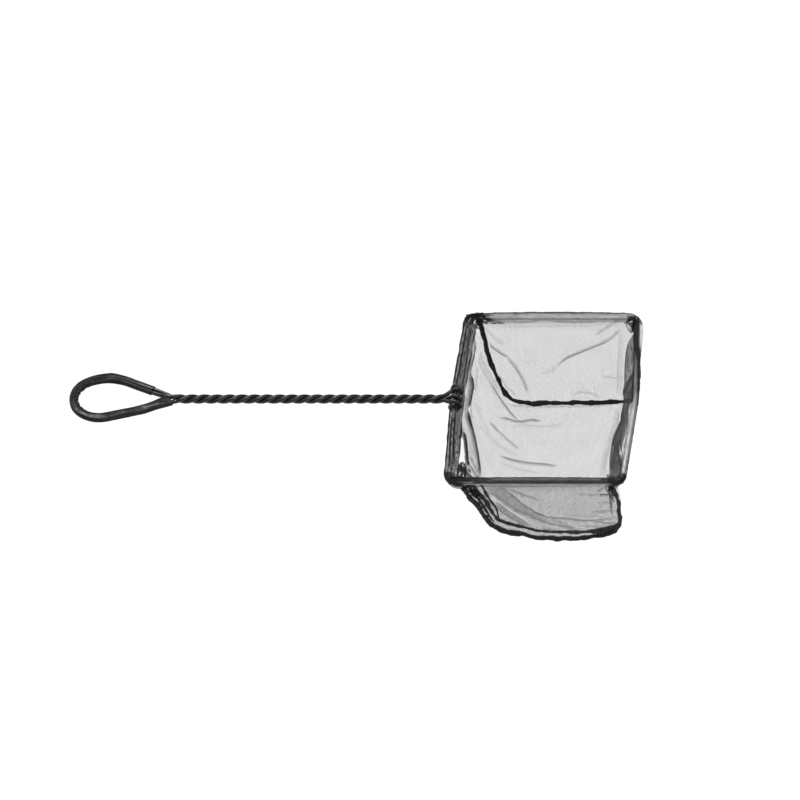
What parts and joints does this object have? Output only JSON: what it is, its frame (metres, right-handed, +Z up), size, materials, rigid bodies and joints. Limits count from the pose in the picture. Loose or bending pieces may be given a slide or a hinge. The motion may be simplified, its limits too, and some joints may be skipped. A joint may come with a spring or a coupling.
{
  "type": "aquarium fish net",
  "caption": "Hand net with a twisted coated-wire handle, a sleeved hanging loop and a skewed rectangular wire frame that carries a box-shaped mesh bag.",
  "frame": {"origin": "centre of the round end of the hanging loop, on the handle's line and in the plane of the frame", "axes": "+X along the handle from the loop to the frame; +Y across the mouth; +Z up out of the bag's mouth, through the loop"},
  "size_m": [0.3752, 0.155, 0.0738],
  "materials": {
    "steel_wire": "bright drawn wire",
    "coated_wire": "black plastic coating bonded to steel wire, semi-gloss",
    "grip_vinyl": "soft black vinyl tube, flattened, semi-gloss with creases",
    "mesh": "fine sheer dark mesh",
    "mesh_casing": "fine dark mesh in several layers, stitched",
    "binding": "black overlocked seam"
  },
  "bodies": {
    "root": {"frame_wire": "steel_wire", "strand_upper": "coated_wire", "strand_lower": "coated_wire", "strand_middle": "coated_wire", "loop_wire": "coated_wire", "grip_sleeve": "grip_vinyl", "far_hem": "mesh_casing", "near_hem": "mesh_casing", "handle_hem_far": "mesh_casing", "handle_hem_near": "mesh_casing", "end_hem": "mesh_casing", "far_panel": "mesh", "near_panel": "mesh", "gusset": "mesh", "far_seam": "binding", "near_seam": "binding"}
  },
  "joints": []
}
